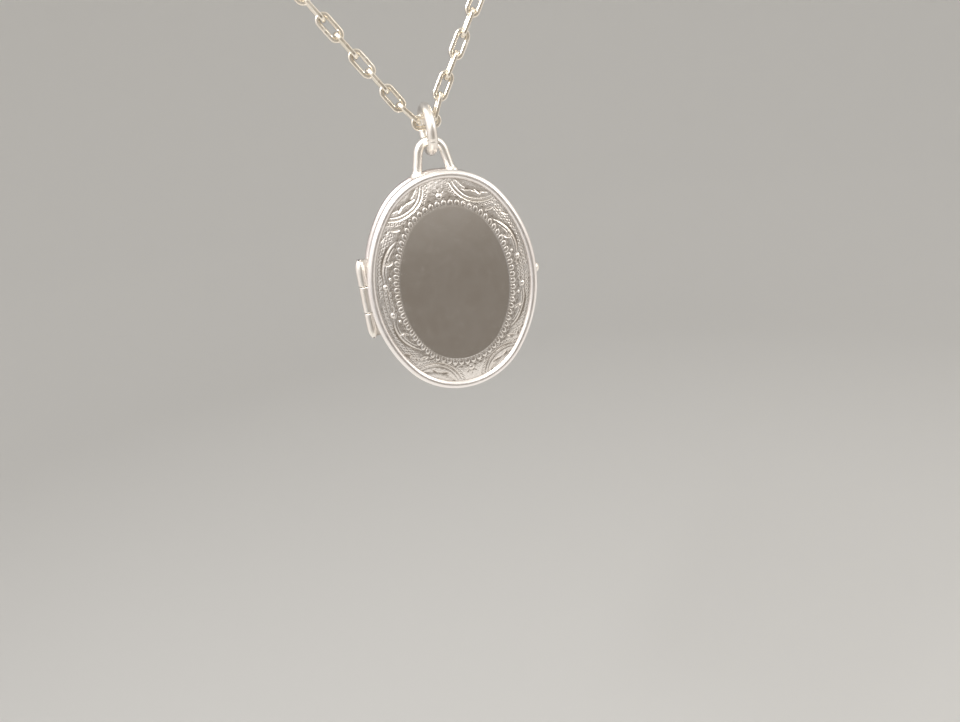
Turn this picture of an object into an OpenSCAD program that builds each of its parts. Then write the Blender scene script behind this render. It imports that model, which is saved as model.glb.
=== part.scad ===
// Oval silver locket on a link chain.
// The locket hangs upright with its engraved cover towards -Y and +Z up. The origin is straight
// above the case, at the mean height of the chain's two end rings, where the necklace is carried.

/* [Case] */
// Width of the case over its rims
case_w = 23.2; // [22.4:0.1:24]
// Height of the case over its rims
case_h = 30; // [28:0.5:33]
// Where the case's side arcs meet its end arcs, in degrees above the middle
case_join = 36.8699; // [35:0.1:40]
// Depth of one half, from the seam to the top of its rim
half_t = 2.05; // [2:0.05:2.6]
// Diameter of the round wire rim
rim_d = 1.1; // [0.9:0.05:1.2]
// Thickness of the case wall
wall = 0.5; // [0.4:0.05:0.6]
// How far the case wall is set in from the edge of the rim
wall_inset = 0.5; // [0.4:0.05:0.6]
// Thickness of the front and back panels
panel_t = 0.4; // [0.3:0.05:0.5]
// Height of a panel's crown above its edge
crown = 0.5; // [0.3:0.05:0.6]
// Width of a panel's curved border, from the edge of the rim to the level middle
border_w = 3.8; // [3.6:0.05:4]
// Gap between the closed halves
seam_gap = 0.06; // [0.04:0.01:0.1]

/* [Cover] */
// Width of the plain oval in the middle of the cover
oval_w = 15; // [13.5:0.1:15.2]
// Height of the plain oval in the middle of the cover
oval_h = 21; // [19:0.1:21.4]
// Where the plain oval's side arcs meet its end arcs, in degrees above the middle
oval_join = 34; // [32:1:40]
// How far the plain oval stands proud of the crowned panel
oval_rise = 0.15; // [0.1:0.05:0.25]
// Diameter of the ball that the cover is opened by
pip_d = 1.6; // [1.3:0.1:1.8]

/* [Lip] */
// Thickness of the lip that the cover closes over
lip_t = 0.5; // [0.4:0.05:0.5]
// Height of the lip above the seam
lip_h = 0.7; // [0.6:0.05:0.75]
// Clearance between the lip and the cover's wall
lip_clear = 0.15; // [0.12:0.01:0.2]
// Length of the bead on the lip that holds the cover shut
snap_len = 3; // [2:0.5:4]

/* [Photo fittings] */
// Width of the photo frame's band
frame_w = 2; // [1.5:0.1:2.5]
// Thickness of the photo frame
frame_t = 0.3; // [0.25:0.05:0.35]
// Thickness of the clear window and of the photo insert behind it
sheet_t = 0.15; // [0.1:0.01:0.15]
// Depth of the photo frame's face below the seam
frame_depth = 0.8; // [0.8:0.05:0.85]

/* [Hinge] */
// Length of the whole hinge barrel
barrel_len = 10.8; // [9:0.1:12]
// Diameter of a knuckle
knuckle_d = 1.3; // [1.2:0.05:1.5]
// Diameter of the hinge pin
pin_d = 0.6; // [0.5:0.05:0.65]
// Running clearance round the pin
pin_clear = 0.03; // [0.02:0.01:0.05]
// Gap between two knuckles
knuckle_gap = 0.1; // [0.08:0.01:0.15]

/* [Loop and jump ring] */
// Wire diameter of the loop on the case
loop_wire = 1.2; // [1.1:0.05:1.3]
// Radius of the loop's top, to the middle of the wire
loop_r = 1.75; // [1.7:0.05:1.9]
// Outward slope of the loop's legs, in degrees
loop_splay = 12; // [8:1:14]
// Wire diameter of the jump ring
ring_wire = 1.3; // [1.2:0.05:1.3]
// Radius of the jump ring, to the middle of the wire
ring_r = 2.65; // [2.65:0.05:2.8]
// Gap at each hanging contact
hang_gap = 0.05; // [0.03:0.01:0.08]

/* [Chain] */
// Length of a link over its ends
link_l = 4; // [3.9:0.05:4.3]
// Width of a link
link_w = 2.05; // [2:0.05:2.1]
// Wire diameter of a link
link_wire = 0.64; // [0.58:0.02:0.64]
// Number of links on each side of the middle one
side_links = 8; // [8:1:8]
// Lean of the link on the left of the middle one from the vertical, in degrees
first_lean_left = 41; // [38:1:46]
// Lean of the link on the right of the middle one, in degrees
first_lean_right = 24; // [23:1:30]
// Lean of the left strand's other links, in degrees
strand_lean_left = 34.5; // [32:0.5:36]
// Lean of the right strand's other links, in degrees
strand_lean_right = 31.5; // [30:0.5:34]

/* [Ends and clasp] */
// Radius of an end ring, to the middle of the wire
end_r = 1.2; // [1.15:0.05:1.3]
// Wire diameter of an end ring
end_wire = 0.6; // [0.5:0.05:0.6]
// Radius of the clasp's eye, to the middle of the wire
eye_r = 0.75; // [0.7:0.05:0.8]
// Wire diameter of the clasp's eye
eye_wire = 0.56; // [0.5:0.02:0.56]
// Radius of the clasp, to the middle of its tube
clasp_r = 2.4; // [2.3:0.05:2.6]
// Outer diameter of the clasp's tube
tube_d = 1.2; // [1.15:0.05:1.25]
// Inner diameter of the clasp's tube
tube_bore = 0.84; // [0.8:0.02:0.86]
// Half of the angle of the clasp's mouth, in degrees
mouth = 20; // [18:1:22]
// Travel of the clasp's bolt, in degrees
bolt_travel = 44; // [40:1:44]

/* [Hidden] */

round_fn = 96;   // facets round a wire ring or an oval's arc
wire_fn = 48;    // facets round a wire's section
silver = [0.82, 0.81, 0.79];
chain_silver = [0.80, 0.77, 0.70];
paper = [0.90, 0.87, 0.80];

// Insets are measured inwards from the edge of the rim, all the way round the case.
rim_r = rim_d / 2;
wall_out = wall_inset;
wall_in = wall_out + wall;
lip_out = wall_in + lip_clear;
lip_in = lip_out + lip_t;
sheet_edge = 0.6;          // how far a window or photo is tucked in behind its frame
fit_gap = 0.05;            // slack of a panel or photo frame in its half
panel_edge = wall_in + fit_gap;
panel_edge_z = half_t - 0.4;
pip_r = pip_d / 2;
pip_z = 0.85;              // height of the ball's centre in front of the seam
snap_r = 0.11;             // the snap bead is a fine wire let into the lip
snap_z = 0.45;

// Hinge, outside the left wall, on the seam.
knuckle_r = knuckle_d / 2;
wall_gap = 0.1;            // between the barrel and the wall it doesn't belong to
hinge_x = -(case_w / 2 - wall_out + knuckle_r + wall_gap);
knuckle_len = (barrel_len - 2 * knuckle_gap) / 3;
knuckle_step = knuckle_len + knuckle_gap;
leaf_bite = 0.05;          // how deep the solder lets a leaf into the wall

// A wire link: two straight sides and two round ends. The next link's wire lies in the middle
// of a round end, so the chain can bend there without the links meeting.
link_half = (link_l - link_wire) / 2;
link_end_r = (link_w - link_wire) / 2;

function is_face(k) = k % 2 == 0;
// A side is -1 for the left strand and 1 for the right one.
function side_of(k) = k < 0 ? -1 : 1;
function strand_lean(side) = side < 0 ? strand_lean_left : strand_lean_right;
function first_lean(side) = side < 0 ? first_lean_left : first_lean_right;
function lean(k) =
    k == 0 ? 90 : abs(k) == 1 ? first_lean(side_of(k)) : strand_lean(side_of(k));
function along(k, side) = [side * sin(lean(k)), 0, cos(lean(k))];
function reach(k) = is_face(k) ? link_half - link_end_r : link_half;
// Centre of link k, counted from the middle link: below 0 to the left, above it to the right.
function link_pos(k) =
    let (side = side_of(k), before = k - side)
    k == 0 ? [0, 0, 0]
           : link_pos(before) + reach(before) * along(before, side) + reach(k) * along(k, side);
function link_name(k) = let (n = k + side_links + 1) str("chain_link_", n < 10 ? "0" : "", n);

function strand_dir(side) = along(side * side_links, side);
function end_ring_pos(side) =
    link_pos(side * side_links) + (reach(side_links) + end_r) * strand_dir(side);
middle_z = -(end_ring_pos(-1)[2] + end_ring_pos(1)[2]) / 2;

// Jump ring, hanging on the upper wire of the middle link.
ring_wire_r = ring_wire / 2;
loop_wire_r = loop_wire / 2;
swing_z = middle_z + link_end_r;
ring_z = swing_z - (ring_r - ring_wire_r - link_wire / 2 - hang_gap);
rock_z = ring_z - ring_r;
loop_top_z = rock_z + ring_wire_r + loop_wire_r + hang_gap;
loop_mid_z = loop_top_z - loop_r;

// The case hangs from its loop, which stands on the back half.
case_drop = 2.3;           // from the middle of the ring's lowest wire to the top of the rim
case_z = rock_z - case_drop - case_h / 2;
seam_y = -1;

// Clasp, past the left end ring.
tube_r = tube_d / 2;
bore_r = tube_bore / 2;
bolt_r = bore_r - 0.04;
eye_bite = 0.12;
eye_pos = end_ring_pos(-1) + end_r * strand_dir(-1);
clasp_pos = eye_pos + (eye_r + eye_wire / 2 + tube_r - eye_bite + clasp_r) * strand_dir(-1);
bolt_tip = -24;            // angles round the clasp, counted from the middle of its mouth
bolt_tail = 74;
trigger_at = 52;
slot_spare = 6;
spring_from = 46;
spring_to = 170;
plug_at = 176;

// --- frames of reference ---

// Places its children in the case: x across, y up the case, z out of the seam to the front.
module in_case() {
    translate([0, seam_y, case_z]) rotate([90, 0, 0]) children();
}

// Places its children in the back half, which is the front half mirrored in the seam.
module in_back() {
    in_case() mirror([0, 0, 1]) children();
}

// Places its children in the plane of the chain's V, with their x axis along the strand.
module on_strand(pos, side, angle) {
    translate([pos[0], 0, pos[2] + middle_z])
        rotate([90, 0, 0]) rotate([0, 0, side > 0 ? 90 - angle : 90 + angle]) children();
}

// --- shapes that repeat ---

// An oval of width w and height h has four arcs, which meet smoothly at the angle join.
// Radius of its top and bottom arcs:
function end_arc_r(w, h, join) = (w - h * tan(join / 2)) / (2 - 2 * tan(join / 2));
// Radius of its side arcs:
function side_arc_r(w, h, join) =
    let (end_r = end_arc_r(w, h, join)) end_r + (h / 2 - end_r) / sin(join);

// Sweeps a section round the case. The section's x is counted outwards from the case's edge.
module oval_sweep() {
    end_r = end_arc_r(case_w, case_h, case_join);
    big_r = side_arc_r(case_w, case_h, case_join);
    for (across = [0, 1], down = [0, 1]) mirror([across, 0, 0]) mirror([0, down, 0]) {
        translate([0, case_h / 2 - end_r, 0]) rotate([0, 0, 90])
            rotate_extrude(angle = 90 - case_join, $fn = round_fn)
                translate([end_r, 0]) children();
        translate([big_r - case_w / 2, 0, 0]) rotate([0, 0, 180])
            rotate_extrude(angle = case_join, $fn = round_fn * 2)
                translate([big_r, 0]) children();
    }
}

// Outline of an oval of four arcs, drawn in from its edge by inset.
module oval_outline(w, h, join, inset) {
    end_r = end_arc_r(w, h, join);
    big_r = side_arc_r(w, h, join);
    join_y = h / 2 - end_r + (end_r - inset) * sin(join);
    for (end = [-1, 1])
        translate([0, end * (h / 2 - end_r)]) circle(r = end_r - inset, $fn = round_fn);
    intersection() {
        translate([w / 2 - big_r, 0]) circle(r = big_r - inset, $fn = round_fn * 2);
        translate([big_r - w / 2, 0]) circle(r = big_r - inset, $fn = round_fn * 2);
        square([w, 2 * join_y], center = true);
    }
}

module case_sheet(inset, z, t) {
    translate([0, 0, z]) linear_extrude(t) oval_outline(case_w, case_h, case_join, inset);
}

module wire_ring(r, wire_d) {
    rotate_extrude($fn = round_fn) translate([r, 0]) circle(d = wire_d, $fn = wire_fn);
}

module half_rim() {
    oval_sweep() {
        translate([-wall_in, seam_gap / 2]) square([wall, half_t - rim_r - seam_gap / 2]);
        translate([-rim_r, half_t - rim_r]) circle(r = rim_r, $fn = wire_fn);
    }
}

// A panel rises from its edge through a curved border to a level middle.
module half_panel() {
    steps = 6;
    shelf = 0.3;
    top_z = panel_edge_z + crown;
    curve = [for (i = [0 : steps]) [
        -panel_edge - (border_w - panel_edge) * i / steps,
        panel_edge_z + crown * sin(90 * i / steps)]];
    upper = concat(curve, [[-border_w - shelf, top_z]]);
    lower = [for (i = [len(upper) - 1 : -1 : 0]) upper[i] - [0, panel_t]];
    oval_sweep() polygon(concat(upper, lower));
    case_sheet(border_w + shelf / 2, top_z - panel_t, panel_t);
}

// The photo fittings fill a half out to the inset given.
module photo_frame(inset) {
    oval_sweep() translate([-inset - frame_w, frame_depth]) square([frame_w, frame_t]);
}

module photo_window(inset) {
    case_sheet(inset + frame_w - sheet_edge, frame_depth + frame_t, sheet_t);
}

module photo_insert(inset) {
    case_sheet(inset + frame_w - sheet_edge, frame_depth + frame_t + sheet_t, sheet_t);
}

// One knuckle centred at height y, with its leaf running to the wall on the front or back side.
module knuckle(y, front) {
    chamfer = 0.2;
    leaf_low = 0.12;
    leaf_high = knuckle_r;
    end = knuckle_len / 2;
    difference() {
        union() {
            translate([hinge_x, y, 0]) rotate([90, 0, 0]) rotate_extrude($fn = wire_fn)
                polygon([[0, -end], [knuckle_r - chamfer, -end], [knuckle_r, -end + chamfer],
                         [knuckle_r, end - chamfer], [knuckle_r - chamfer, end], [0, end]]);
            mirror([0, 0, front ? 0 : 1])
                translate([hinge_x, y - end + chamfer, leaf_low])
                    cube([2, knuckle_len - 2 * chamfer, leaf_high - leaf_low]);
        }
        translate([hinge_x, y, 0]) rotate([90, 0, 0])
            cylinder(r = pin_d / 2 + pin_clear, h = knuckle_len + 1, center = true,
                     $fn = wire_fn);
        case_sheet(wall_out + leaf_bite, -2, 4);
    }
}

// A link lying along x in the xy plane.
module wire_link() {
    straight = link_half - link_end_r;
    for (end = [0, 1]) mirror([end, 0, 0])
        translate([straight, 0, 0])
            rotate([0, 0, -90]) rotate_extrude(angle = 180, $fn = round_fn)
                translate([link_end_r, 0]) circle(d = link_wire, $fn = wire_fn);
    for (side = [-1, 1])
        translate([0, side * link_end_r, 0]) rotate([0, 90, 0])
            cylinder(d = link_wire, h = 2 * straight, center = true, $fn = wire_fn);
}

module chain_link(k) {
    color(chain_silver) on_strand(link_pos(k), side_of(k), lean(k))
        rotate([is_face(k) ? 0 : 90, 0, 0]) wire_link();
}

// A stretch of the clasp's round bar, between two angles round the clasp.
module clasp_arc(from, to, r) {
    rotate([0, 0, from]) rotate_extrude(angle = to - from, $fn = round_fn)
        translate([clasp_r, 0]) circle(r = r, $fn = wire_fn);
}

// --- front cover ---

module front_rim() {
    color(silver) in_case() half_rim();
}

module front_panel() {
    top_z = panel_edge_z + crown;
    color(silver) in_case() {
        half_panel();
        translate([0, 0, top_z - panel_t / 2]) linear_extrude(panel_t / 2 + oval_rise)
            oval_outline(oval_w, oval_h, oval_join, 0);
    }
}

module thumb_pip() {
    color(silver) in_case() difference() {
        translate([case_w / 2 - wall_out + 0.3, 0, pip_z]) sphere(r = pip_r, $fn = wire_fn);
        case_sheet(wall_out + leaf_bite, -2, 6);
    }
}

module front_photo_frame() {
    color(silver) in_case() photo_frame(wall_in + fit_gap);
}

module front_window() {
    color([0.85, 0.9, 0.92, 0.4]) in_case() photo_window(wall_in + fit_gap);
}

module front_photo() {
    color(paper) in_case() photo_insert(wall_in + fit_gap);
}

// --- back half ---

module back_rim() {
    color(silver) in_back() half_rim();
}

module back_panel() {
    color(silver) in_back() half_panel();
}

module snap_lip() {
    foot = 1.2;
    color(silver) in_case() oval_sweep() {
        translate([-lip_in, -foot]) square([lip_t, foot + lip_h]);
        translate([-lip_in, -foot]) square([lip_in - wall_in, foot - seam_gap]);
    }
}

module snap_bead() {
    color(silver) in_case()
        translate([case_w / 2 - lip_out - snap_r / 2, 0, snap_z]) rotate([90, 0, 0])
            cylinder(r = snap_r, h = snap_len, center = true, $fn = wire_fn);
}

module back_photo_frame() {
    color(silver) in_back() photo_frame(lip_in + fit_gap);
}

module back_window() {
    color([0.85, 0.9, 0.92, 0.4]) in_back() photo_window(lip_in + fit_gap);
}

module back_photo() {
    color(paper) in_back() photo_insert(lip_in + fit_gap);
}

// --- hinge ---

module hinge_knuckle_top() {
    color(silver) in_case() knuckle(knuckle_step, false);
}

module hinge_knuckle_middle() {
    color(silver) in_case() knuckle(0, true);
}

module hinge_knuckle_bottom() {
    color(silver) in_case() knuckle(-knuckle_step, false);
}

module hinge_pin() {
    color(silver) in_case() translate([hinge_x, 0, 0]) rotate([90, 0, 0])
        cylinder(d = pin_d, h = barrel_len, center = true, $fn = wire_fn);
}

// --- loop and jump ring ---

module bail_loop() {
    leg = 4;
    color(silver) difference() {
        translate([0, 0, loop_mid_z]) rotate([90, 0, 0]) {
            rotate([0, 0, loop_splay]) rotate_extrude(angle = 180 - 2 * loop_splay, $fn = round_fn)
                translate([loop_r, 0]) circle(r = loop_wire_r, $fn = wire_fn);
            for (side = [0, 1]) mirror([side, 0, 0]) rotate([0, 0, loop_splay])
                translate([loop_r, 0, 0]) rotate([90, 0, 0])
                    cylinder(r = loop_wire_r, h = leg, $fn = wire_fn);
        }
        in_case() case_sheet(wall_out + wall * 0.4, -6, 12);
    }
}

module jump_ring() {
    color(silver) translate([0, 0, ring_z]) rotate([0, 90, 0]) wire_ring(ring_r, ring_wire);
}

// --- chain ends and clasp ---

module end_ring(side) {
    color(chain_silver) on_strand(end_ring_pos(side), side, strand_lean(side))
        rotate([90, 0, 0]) wire_ring(end_r, end_wire);
}

module left_end_ring() {
    end_ring(-1);
}

module right_end_ring() {
    end_ring(1);
}

module clasp_eye() {
    color(chain_silver) on_strand(eye_pos, -1, strand_lean_left) wire_ring(eye_r, eye_wire);
}

module clasp_body() {
    slot_w = 0.5;
    slot_deep = bore_r / 2;
    color(chain_silver) on_strand(clasp_pos, -1, strand_lean_left) difference() {
        clasp_arc(mouth, 360 - mouth, tube_r);
        clasp_arc(mouth - 1, plug_at, bore_r);
        clasp_arc(360 - mouth - 8, 360 - mouth + 1, bore_r);
        rotate([0, 0, trigger_at - slot_spare])
            rotate_extrude(angle = bolt_travel + 2 * slot_spare, $fn = round_fn)
                translate([clasp_r + slot_deep, -slot_w / 2]) square([tube_r, slot_w]);
    }
}

module clasp_bolt() {
    color(chain_silver) on_strand(clasp_pos, -1, strand_lean_left) difference() {
        clasp_arc(bolt_tip, bolt_tail, bolt_r);
        clasp_arc(spring_from - 2, bolt_tail + 1, bolt_r / 2);
    }
}

module clasp_trigger() {
    color(chain_silver) on_strand(clasp_pos, -1, strand_lean_left) rotate([0, 0, trigger_at])
        translate([clasp_r + bolt_r * 0.8, 0, 0]) rotate([0, 90, 0]) {
            cylinder(r = 0.2, h = 0.75, $fn = wire_fn);
            translate([0, 0, 0.8]) sphere(r = 0.32, $fn = wire_fn);
        }
}

module clasp_spring() {
    spring_r = bolt_r / 2 - 0.03;
    color("gainsboro") on_strand(clasp_pos, -1, strand_lean_left)
        clasp_arc(spring_from, spring_to, spring_r);
}

front_rim();
front_panel();
thumb_pip();
front_photo_frame();
front_window();
front_photo();
back_rim();
back_panel();
snap_lip();
snap_bead();
back_photo_frame();
back_window();
back_photo();
hinge_knuckle_top();
hinge_knuckle_middle();
hinge_knuckle_bottom();
hinge_pin();
bail_loop();
jump_ring();
for (k = [-side_links : side_links])
    chain_link(k);
left_end_ring();
right_end_ring();
clasp_eye();
clasp_body();
clasp_bolt();
clasp_trigger();
clasp_spring();
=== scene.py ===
# The looks of an oval silver locket that hangs on a link chain.
# Shapes are worked out in millimetres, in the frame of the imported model, and turned into metres
# when a mesh is made. Case coordinates are x across, y up the case and z out of the seam.
import math

import bmesh
import bpy
import numpy as np
from mathutils import Matrix, Vector


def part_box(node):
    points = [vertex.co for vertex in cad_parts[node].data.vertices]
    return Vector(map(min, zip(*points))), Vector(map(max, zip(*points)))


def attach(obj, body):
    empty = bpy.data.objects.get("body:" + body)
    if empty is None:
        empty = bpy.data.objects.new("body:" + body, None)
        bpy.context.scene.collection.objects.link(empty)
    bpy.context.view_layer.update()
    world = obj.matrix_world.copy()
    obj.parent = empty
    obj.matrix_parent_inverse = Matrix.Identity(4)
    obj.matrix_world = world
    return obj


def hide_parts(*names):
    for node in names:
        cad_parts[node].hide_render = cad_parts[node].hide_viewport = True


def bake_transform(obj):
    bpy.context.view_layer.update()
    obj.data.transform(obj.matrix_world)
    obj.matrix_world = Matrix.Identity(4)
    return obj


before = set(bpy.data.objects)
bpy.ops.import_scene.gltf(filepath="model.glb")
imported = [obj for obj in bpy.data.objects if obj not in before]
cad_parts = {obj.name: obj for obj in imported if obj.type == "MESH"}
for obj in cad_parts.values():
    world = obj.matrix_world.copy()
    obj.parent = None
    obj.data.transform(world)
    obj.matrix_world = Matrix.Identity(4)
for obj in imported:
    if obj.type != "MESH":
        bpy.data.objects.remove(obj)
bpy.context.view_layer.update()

MM = 0.001


def box_mm(node):
    """The lowest and highest corner of a CAD node, in millimetres."""
    low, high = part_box(node)
    return np.array(low) / MM, np.array(high) / MM


def centre_of(node):
    low, high = box_mm(node)
    return (low + high) / 2


# --- sizes that come from the frame ---

front_low, front_high = box_mm("front_rim")
back_low, _ = box_mm("back_rim")
CASE_W = front_high[0] - front_low[0]
CASE_H = front_high[2] - front_low[2]
CASE_Z = (front_high[2] + front_low[2]) / 2
SEAM_Y = (front_high[1] + back_low[1]) / 2
SEAM_GAP = back_low[1] - front_high[1]
HALF_T = SEAM_Y - front_low[1]

# --- sizes that repeat the CAD's ---

CASE_JOIN = math.radians(36.8699)
RIM_R = 0.55
WALL_OUT = 0.5
WALL_IN = 1.0
LIP_IN = 1.65
FRAME_W = 2.0
FRAME_T = 0.3
FRAME_DEPTH = 0.8
SHEET_EDGE = 0.6
SHEET_T = 0.15
FIT_GAP = 0.05
PANEL_EDGE = 1.05
PANEL_EDGE_Z = HALF_T - 0.4
PANEL_T = 0.4
CROWN = 0.5
OVAL_W = 15.0
OVAL_H = 21.0
OVAL_JOIN = math.radians(34)

# How far links lean from the vertical on each side: -1 is the left strand, 1 the right one.
FIRST_LEAN = {-1: 41.0, 1: 24.0}
STRAND_LEAN = {-1: 34.5, 1: 31.5}
LINK_L = 4.0
LINK_W = 2.05
LINK_WIRE = 0.64
SIDE_LINKS = 8

# --- the camera ---

# A point in the cover's face, which the camera and the lights are set up round.
AIM = Vector((0, SEAM_Y - 2.4, CASE_Z))
CAMERA_AZIMUTH = -11.5
CAMERA_ELEVATION = 15.2
CAMERA_DISTANCE = 97.0
CAMERA_ROLL = -8.5
CAMERA_PAN = 1.84
CAMERA_TILT = -5.92
CAMERA_LENS = 27.2
SENSOR_W = 36.0


def direction(azimuth, elevation):
    """The unit vector from the object towards a viewer at that azimuth and elevation."""
    a = math.radians(azimuth)
    e = math.radians(elevation)
    return Vector((math.sin(a) * math.cos(e), -math.cos(a) * math.cos(e), math.sin(e)))


def turn(angle, axis):
    return Matrix.Rotation(math.radians(angle), 4, axis)


def facing(towards):
    """Turns a thing so that its z axis points that way."""
    return Vector(towards).to_track_quat("Z", "Y").to_matrix().to_4x4()


def stand_off(azimuth, elevation, distance):
    """Where a camera or lamp stands that faces AIM from a direction and a distance in millimetres."""
    back = direction(azimuth, elevation)
    return Matrix.Translation((AIM + back * distance) * MM) @ facing(back)


def add_object(name, data):
    thing = bpy.data.objects.new(name, data)
    bpy.context.scene.collection.objects.link(thing)
    return thing


def make_camera():
    """A close camera that looks down at the locket, rolled and turned off its aim."""
    camera = add_object("camera", bpy.data.cameras.new("camera"))
    off_aim = turn(CAMERA_ROLL, "Z") @ turn(-CAMERA_PAN, "Y") @ turn(CAMERA_TILT, "X")
    camera.matrix_world = stand_off(CAMERA_AZIMUTH, CAMERA_ELEVATION, CAMERA_DISTANCE) @ off_aim
    camera.data.sensor_width = SENSOR_W
    camera.data.lens = CAMERA_LENS
    camera.data.clip_start = 0.005
    camera.data.clip_end = 10
    bpy.context.scene.camera = camera


make_camera()

# --- materials ---


class Shading:
    """A new material and its nodes. A value that goes into a socket is a number or a socket."""

    def __init__(self, name):
        self.material = bpy.data.materials.new(name)
        self.material.use_nodes = True
        self.nodes = self.material.node_tree.nodes
        self.shader = self.nodes["Principled BSDF"]

    def put(self, value, socket):
        if isinstance(value, bpy.types.NodeSocket):
            self.material.node_tree.links.new(value, socket)
        else:
            socket.default_value = value

    def set(self, **values):
        """Puts values into the shader. Spaces in a socket's name are written as underscores."""
        for name, value in values.items():
            self.put(value, self.shader.inputs[name.replace("_", " ")])

    def attribute(self, name):
        node = self.nodes.new("ShaderNodeAttribute")
        node.attribute_name = name
        return node.outputs

    def noise(self, scale, detail, turned=(0, 0, 0)):
        """Noise fixed to the piece, with a number of features per metre for each axis."""
        where = self.nodes.new("ShaderNodeTexCoord")
        mapping = self.nodes.new("ShaderNodeMapping")
        texture = self.nodes.new("ShaderNodeTexNoise")
        self.put(where.outputs["Object"], mapping.inputs["Vector"])
        self.put(scale, mapping.inputs["Scale"])
        self.put(turned, mapping.inputs["Rotation"])
        self.put(mapping.outputs["Vector"], texture.inputs["Vector"])
        self.put(1.0, texture.inputs["Scale"])
        self.put(detail, texture.inputs["Detail"])
        return texture.outputs["Fac"]

    def ramp(self, value, low, high):
        """0 where the value is up to low, 1 where it's from high, and even between them."""
        node = self.nodes.new("ShaderNodeValToRGB")
        first, last = node.color_ramp.elements
        first.position, last.position = low, high
        self.put(value, node.inputs["Fac"])
        return node.outputs["Color"]

    def blend(self, share, a, b):
        """Colour a, with a share of colour b."""
        node = self.nodes.new("ShaderNodeMix")
        node.data_type = "RGBA"
        for value, socket in ((share, 0), (a, 6), (b, 7)):
            self.put(value, node.inputs[socket])
        return node.outputs[2]

    def calc(self, operation, a, b):
        node = self.nodes.new("ShaderNodeMath")
        node.operation = operation
        self.put(a, node.inputs[0])
        self.put(b, node.inputs[1])
        return node.outputs[0]

    def bump(self, height, strength, distance):
        """Fine unevenness, its distance in millimetres."""
        node = self.nodes.new("ShaderNodeBump")
        self.put(strength, node.inputs["Strength"])
        self.put(distance * MM, node.inputs["Distance"])
        self.put(height, node.inputs["Height"])
        self.set(Normal=node.outputs["Normal"])


GRIME = (0.42, 0.37, 0.31, 1)
# Hairline scratches run along long noise cells, turned three ways.
SCRATCH_TURNS = ((0.3, 0.2, 0.9), (0.1, 0.7, -0.5), (1.1, -0.3, 0.2))
SCRATCH_CELLS = (600, 26000, 700)
SCRATCH_GLOSS_LOSS = 0.12


def metal(name, bright, tarnished, smooth, rough, tarnish=0.35, scratch=0.5):
    """Worn polished metal: patches of thin tarnish, grime in its cuts, hairline scratches and
    handling marks."""
    look = Shading(name)
    patches = look.ramp(look.noise((420, 420, 420), 5.0), 0.35, 0.75)
    colour = look.blend(look.calc("MULTIPLY", patches, tarnish), (*bright, 1), (*tarnished, 1))
    scratches = 0.0
    for k, turned in enumerate(SCRATCH_TURNS):
        across, fine, deep = SCRATCH_CELLS
        lines = look.noise((across + 90 * k, fine, deep), 2.0, turned)
        scratches = look.calc("MAXIMUM", scratches, look.ramp(lines, 0.62, 0.7))
    smudges = look.calc("MULTIPLY", look.noise((900, 900, 900), 6.0), rough - smooth)
    marks = look.calc("MULTIPLY", scratches, SCRATCH_GLOSS_LOSS * scratch)
    roughness = look.calc("ADD", look.calc("ADD", smudges, smooth), marks)
    dents = look.calc("MULTIPLY", look.noise((1500, 1500, 1500), 3.0), 0.6)
    look.set(Base_Color=look.blend(look.attribute("recess")["Fac"], colour, GRIME),
             Roughness=roughness, Metallic=1.0)
    look.bump(look.calc("SUBTRACT", dents, scratches), 0.25 * scratch, 0.004)
    return look.material


def window_material():
    """Clear acrylic sheet with faint wipe marks. Light shines through it onto the card behind."""
    look = Shading("clear_acrylic")
    marks = look.ramp(look.noise((300, 2600, 300), 4.0, (0, 0.5, 0)), 0.55, 0.8)
    look.set(Base_Color=(0.97, 0.98, 0.98, 1), Transmission_Weight=1.0, IOR=1.49,
             Roughness=look.calc("ADD", look.calc("MULTIPLY", marks, 0.03), 0.02))
    clear = look.nodes.new("ShaderNodeBsdfTransparent")
    look.put((0.94, 0.95, 0.95, 1), clear.inputs["Color"])
    ray = look.nodes.new("ShaderNodeLightPath").outputs
    mix = look.nodes.new("ShaderNodeMixShader")
    lamps = look.calc("MAXIMUM", ray["Is Shadow Ray"], ray["Is Diffuse Ray"])
    for value, socket in zip((lamps, look.shader.outputs["BSDF"], clear.outputs["BSDF"]), mix.inputs):
        look.put(value, socket)
    look.put(mix.outputs["Shader"], look.nodes["Material Output"].inputs["Surface"])
    return look.material


def card_material():
    """Blank matt card: cream, with a soft mottle and fibres."""
    look = Shading("blank_card")
    mottle = look.ramp(look.noise((250, 250, 250), 5.0), 0.3, 0.75)
    colour = look.blend(mottle, (0.86, 0.82, 0.72, 1), (0.92, 0.89, 0.81, 1))
    fibres = look.noise((2500, 9000, 2500), 5.0, (0.4, 0.3, 0.8))
    dark = look.calc("MULTIPLY", look.ramp(fibres, 0.6, 0.7), 0.25)
    look.set(Base_Color=look.blend(dark, colour, (0.62, 0.55, 0.44, 1)),
             Roughness=look.calc("ADD", look.calc("MULTIPLY", mottle, 0.1), 0.75))
    look.bump(fibres, 0.3, 0.01)
    return look.material


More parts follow.
